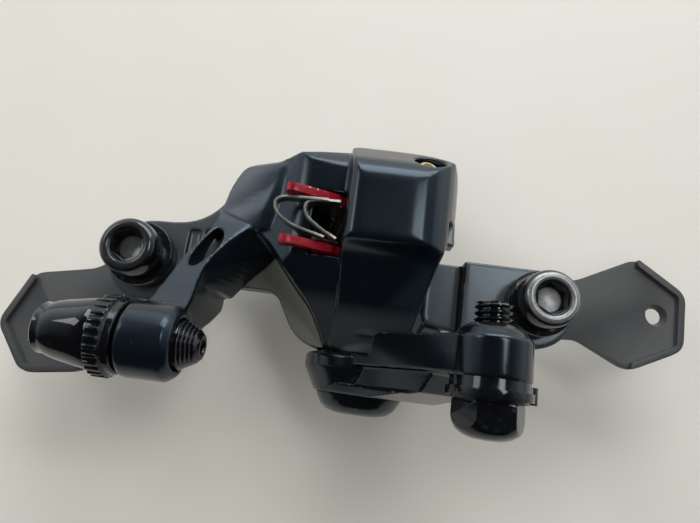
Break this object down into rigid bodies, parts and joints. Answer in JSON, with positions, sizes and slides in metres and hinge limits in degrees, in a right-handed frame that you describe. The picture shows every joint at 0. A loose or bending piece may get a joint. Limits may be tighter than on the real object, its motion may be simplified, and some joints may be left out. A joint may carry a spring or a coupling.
{
  "type": "cable disc brake caliper",
  "caption": "Black post-mount disc brake caliper pulled by a cable, with lever arm, barrel adjuster, red pad tabs, pad spring and bolts on spherical washers.",
  "frame": {"origin": "midpoint of the two mounting bolts, on the lower face of the lower cup washers, which is the face of the frame's posts", "axes": "+X along the line of the two bolts, away from the cable adjuster; +Y along the wheel's axle to the wheel side; +Z along the bolts, heads up"},
  "size_m": [0.1407, 0.0519, 0.0489],
  "materials": {
    "body_paint": "satin black paint on cast aluminium",
    "lever_paint": "satin black paint",
    "black_bolt_steel": "gloss black plated steel, worn to grey on rims",
    "washer_steel": "turned steel",
    "washer_black": "black plated steel",
    "keeper_plastic": "matt dark grey moulded plastic",
    "gloss_black": "gloss black",
    "spring_steel": "bright spring steel",
    "seal_rubber": "matt rubber",
    "brass": "yellow zinc plate",
    "pad_red": "red paint, chipped at the tab ends",
    "lining": "sintered friction material"
  },
  "bodies": {
    "caliper": {"caliper_body": "body_paint", "mount_bolt_left": "black_bolt_steel", "mount_bolt_right": "black_bolt_steel", "lower_cup_left": "washer_steel", "lower_cup_right": "washer_steel", "lower_cone_left": "washer_black", "lower_cone_right": "washer_black", "upper_cone_left": "washer_black", "upper_cone_right": "washer_black", "upper_cup_left": "washer_black", "upper_cup_right": "washer_steel", "keeper_tab_left": "keeper_plastic", "keeper_tab_right": "keeper_plastic", "return_spring": "spring_steel", "shaft_seal": "seal_rubber", "fixed_ramp": "washer_steel", "pad_spring": "spring_steel", "adjuster_seal": "seal_rubber", "lock_screw": "brass"},
    "lever": {"lever_arm": "lever_paint", "hub_cap": "lever_paint", "lever_nut": "washer_steel", "pinch_bolt": "black_bolt_steel", "clamp_washer": "gloss_black", "actuator_shaft": "washer_steel"},
    "ball_set": {"ramp_balls": "spring_steel", "ball_cage": "brass"},
    "piston": {"pressure_foot": "washer_steel", "outboard_pad_plate": "pad_red", "outboard_lining": "lining"},
    "barrel": {"adjuster_barrel": "gloss_black"},
    "ring": {"adjuster_ring": "gloss_black"},
    "pad_knob": {"inboard_adjuster": "gloss_black"},
    "inboard_pad": {"inboard_foot": "washer_steel", "inboard_pad_plate": "pad_red", "inboard_lining": "lining"}
  },
  "joints": [
    {"name": "lever_pivot", "type": "hinge", "parent": "caliper", "child": "lever", "pos_m": [0.0065, -0.0129, -0.001], "axis": [0, -1, 0], "range_deg": [0, 30], "stiffness_Nm_per_rad": 0.1, "springref_deg": -28.65},
    {"name": "ball_turn", "type": "hinge", "parent": "caliper", "child": "ball_set", "pos_m": [0.0065, -0.003, -0.001], "axis": [0, -1, 0], "range_deg": [0, 15]},
    {"name": "piston_slide", "type": "slide", "parent": "caliper", "child": "piston", "axis": [0, 1, 0], "range_m": [0, 0.001], "deforming": ["pad_spring"]},
    {"name": "ring_turn", "type": "hinge", "parent": "caliper", "child": "ring", "pos_m": [-0.032, -0.016, 0.027], "axis": [1, 0, 0], "range_deg": [0, 720]},
    {"name": "barrel_slide", "type": "slide", "parent": "caliper", "child": "barrel", "axis": [-1, 0, 0], "range_m": [0, 0.002]},
    {"name": "knob_turn", "type": "hinge", "parent": "caliper", "child": "pad_knob", "pos_m": [0.0065, 0.026, -0.001], "axis": [0, -1, 0], "range_deg": [0, 360]},
    {"name": "inboard_pad_slide", "type": "slide", "parent": "caliper", "child": "inboard_pad", "axis": [0, -1, 0], "range_m": [0, 0.001], "deforming": ["pad_spring"]}
  ],
  "couplings": [
    {"joint": "ball_turn", "follows": "lever_pivot", "ratio": 0.5},
    {"joint": "piston_slide", "follows": "lever_pivot", "m_per_rad": 0.0019098},
    {"joint": "ring_turn", "follows": "barrel_slide", "rad_per_m": 6283.2},
    {"joint": "knob_turn", "follows": "inboard_pad_slide", "rad_per_m": 6283.2}
  ]
}
